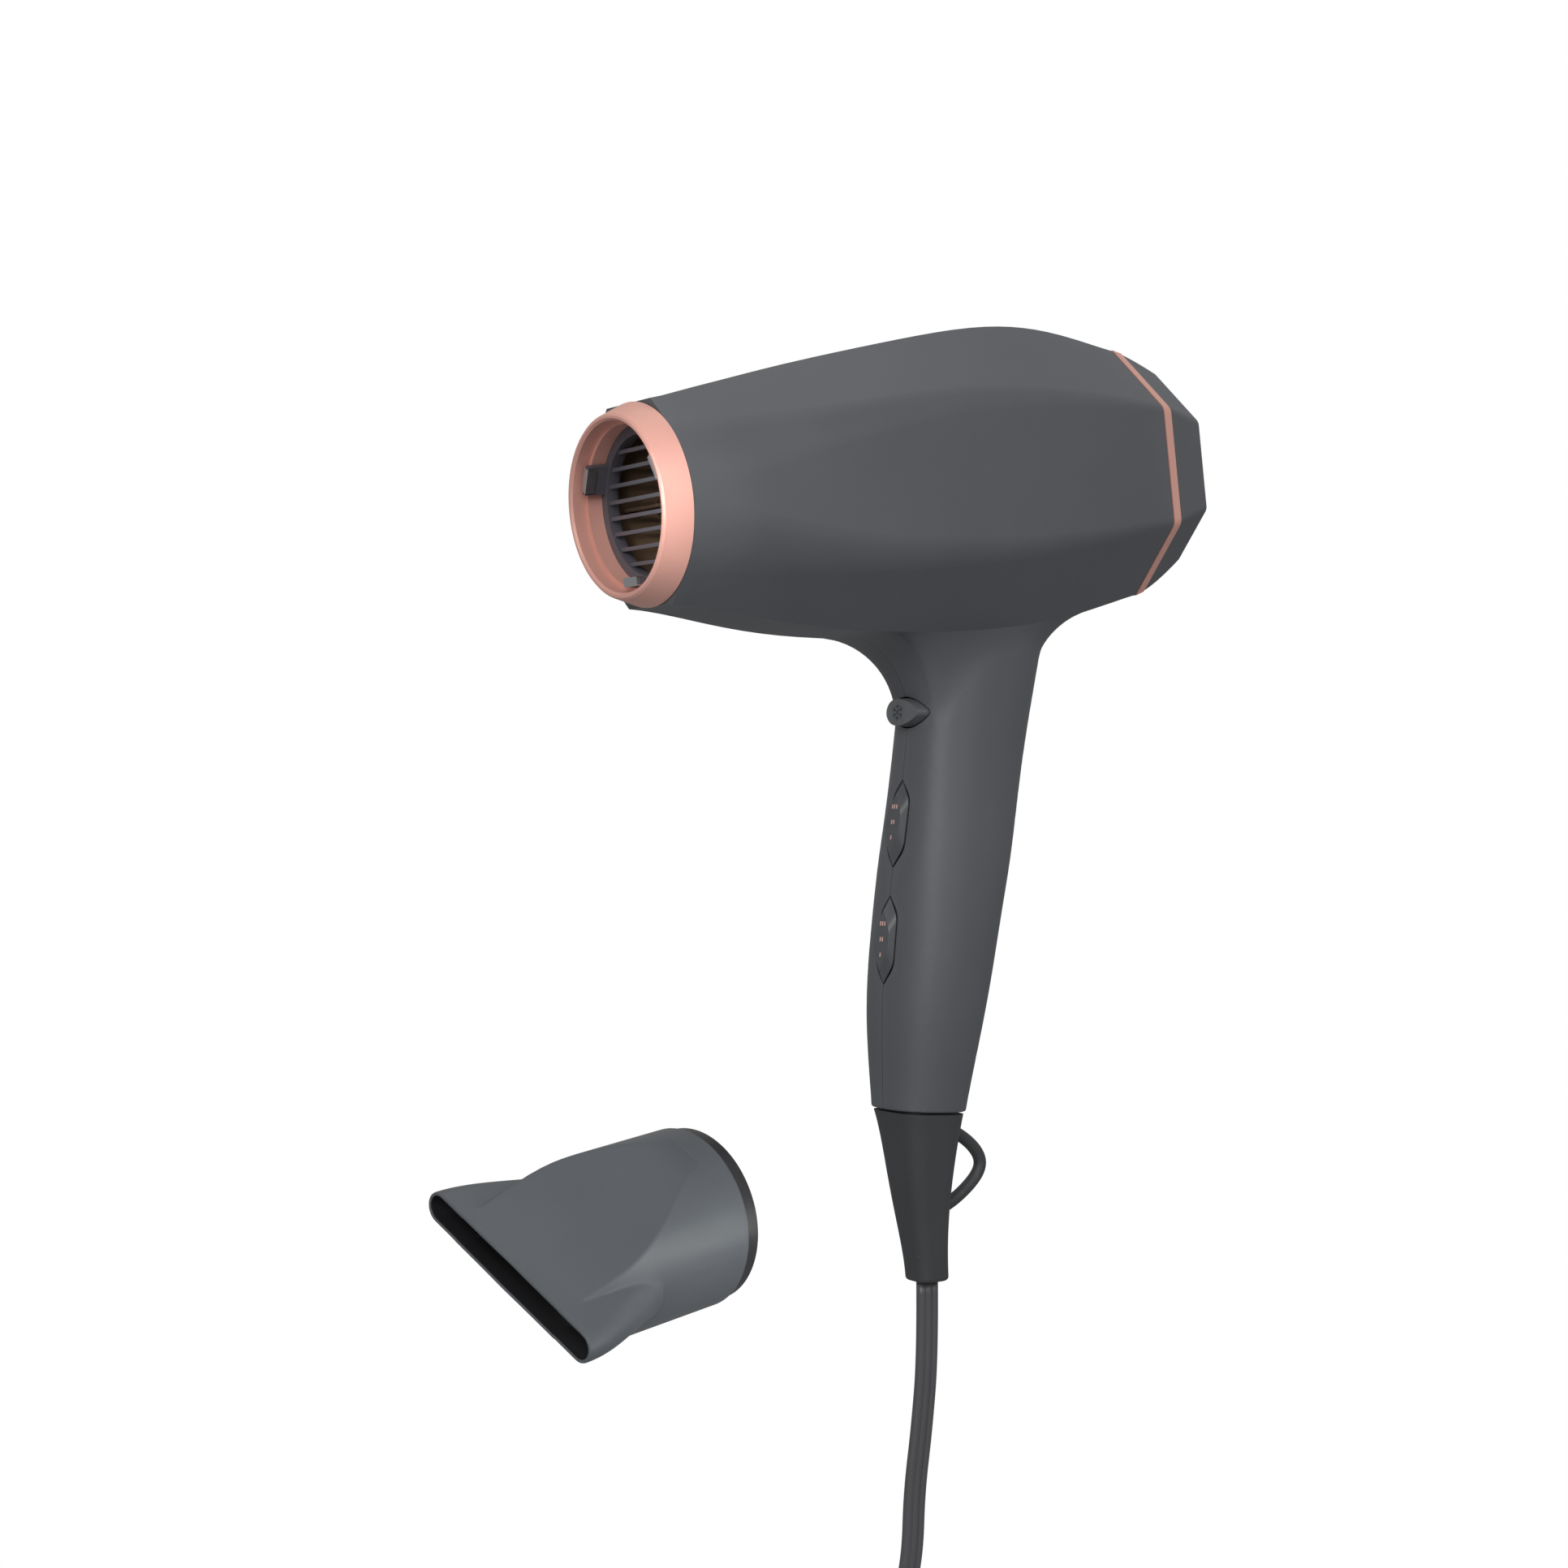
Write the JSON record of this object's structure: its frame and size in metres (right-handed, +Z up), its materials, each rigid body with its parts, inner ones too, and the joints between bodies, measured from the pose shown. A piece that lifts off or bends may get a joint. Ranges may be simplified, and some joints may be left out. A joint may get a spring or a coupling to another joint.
{
  "type": "hair dryer",
  "caption": "Handheld hair dryer with faceted barrel, rocker switches, cool-shot button, hanging loop, corded plug and a detached slot nozzle.",
  "frame": {"origin": "middle of the grip, on the dryer's middle plane", "axes": "+Z up along the hanging handle; the nose points to -X and 7.4 degrees down; -Y is the dryer's left side, towards the viewer"},
  "size_m": [0.2622, 0.1035, 0.652],
  "materials": {
    "soft_grey": "soft-touch coating",
    "switch_grey": "satin",
    "button_black": "satin",
    "rose_gold": "satin rose gold",
    "black_plastic": "moulded",
    "boot_black": "matt",
    "cord_black": "matt",
    "plug_black": "moulded",
    "nozzle_grey": "satin",
    "mica": "pale brown sheet",
    "heater_wire": "bare wire",
    "spring_steel": "bare",
    "steel": "plated",
    "brass": "plated",
    "copper": "enamelled",
    "ferrite": "dark",
    "fan_plastic": "moulded",
    "circuit_board": "lacquered",
    "wire_skin": "insulation",
    "test_button": "moulded",
    "reset_button": "moulded"
  },
  "bodies": {
    "dryer": {"housing_left": "soft_grey", "housing_right": "soft_grey", "housing_screws": "steel", "nose_ring": "rose_gold", "outlet_grille": "black_plastic", "nozzle_clips": "spring_steel", "mica_sleeve": "mica", "mica_board_upright": "mica", "mica_board_level": "mica", "heater_winding": "heater_wire", "thermal_cutoff": "steel", "thermal_fuse": "steel", "fan_shroud": "black_plastic", "motor_can": "steel", "motor_end_cap": "black_plastic", "motor_magnets": "ferrite", "motor_board": "circuit_board", "motor_diodes": "ferrite", "rear_band": "rose_gold", "heat_switch": "black_plastic", "speed_switch": "black_plastic", "cool_spring": "spring_steel", "cool_switch": "black_plastic", "boot": "boot_black", "cord_clamp": "black_plastic", "live_wire": "wire_skin", "neutral_wire": "wire_skin", "cord": "cord_black", "cord_hank": "cord_black", "cord_tie": "boot_black", "cord_tail": "cord_black", "plug_cover": "plug_black", "plug_body": "plug_black", "plug_blades": "brass", "plug_relief": "plug_black"},
    "fan": {"fan_impeller": "fan_plastic", "motor_shaft": "steel", "motor_armature": "copper"},
    "heat_rocker": {"heat_rocker": "switch_grey"},
    "speed_rocker": {"speed_rocker": "switch_grey"},
    "cool_button": {"cool_button": "button_black"},
    "rear_cap": {"rear_cap": "soft_grey", "intake_filter": "spring_steel"},
    "nozzle_collar": {"concentrator_collar": "black_plastic"},
    "nozzle_shell": {"concentrator_shell": "nozzle_grey"},
    "plug_test_button": {"plug_test_button": "test_button"},
    "plug_reset_button": {"plug_reset_button": "reset_button"}
  },
  "joints": [
    {"name": "fan_spin", "type": "hinge", "parent": "dryer", "child": "fan", "pos_m": [0.003, 0, 0.11546], "axis": [0.9917, 0, 0.1288], "continuous": true},
    {"name": "heat_rocker_tilt", "type": "hinge", "parent": "dryer", "child": "heat_rocker", "pos_m": [-0.01232, 0, 0.01025], "axis": [0, 1, 0], "range_deg": [-8, 8]},
    {"name": "speed_rocker_tilt", "type": "hinge", "parent": "dryer", "child": "speed_rocker", "pos_m": [-0.01653, 0, -0.0245], "axis": [0, 1, 0], "range_deg": [-8, 8]},
    {"name": "cool_button_press", "type": "slide", "parent": "dryer", "child": "cool_button", "axis": [1, 0, 0], "range_m": [0, 0.002], "stiffness_N_per_m": 400, "springref_m": -0.002, "deforming": ["cool_spring"]},
    {"name": "rear_cap_pull", "type": "slide", "parent": "dryer", "child": "rear_cap", "axis": [0.9917, 0, 0.1288], "range_m": [0, 0.025]},
    {"name": "nozzle_push_on", "type": "slide", "parent": "dryer", "child": "nozzle_collar", "axis": [0.9749, 0.1895, 0.1167], "range_m": [0, 0.01]},
    {"name": "nozzle_turn", "type": "hinge", "parent": "nozzle_collar", "child": "nozzle_shell", "pos_m": [-0.10668, -0.02155, -0.09618], "axis": [0.9749, 0.1895, 0.1167], "continuous": true},
    {"name": "plug_test_press", "type": "slide", "parent": "dryer", "child": "plug_test_button", "axis": [0, 1, 0], "range_m": [0, 0.001], "stiffness_N_per_m": 500, "springref_m": -0.001},
    {"name": "plug_reset_press", "type": "slide", "parent": "dryer", "child": "plug_reset_button", "axis": [0, 1, 0], "range_m": [0, 0.001], "stiffness_N_per_m": 500, "springref_m": -0.001}
  ]
}
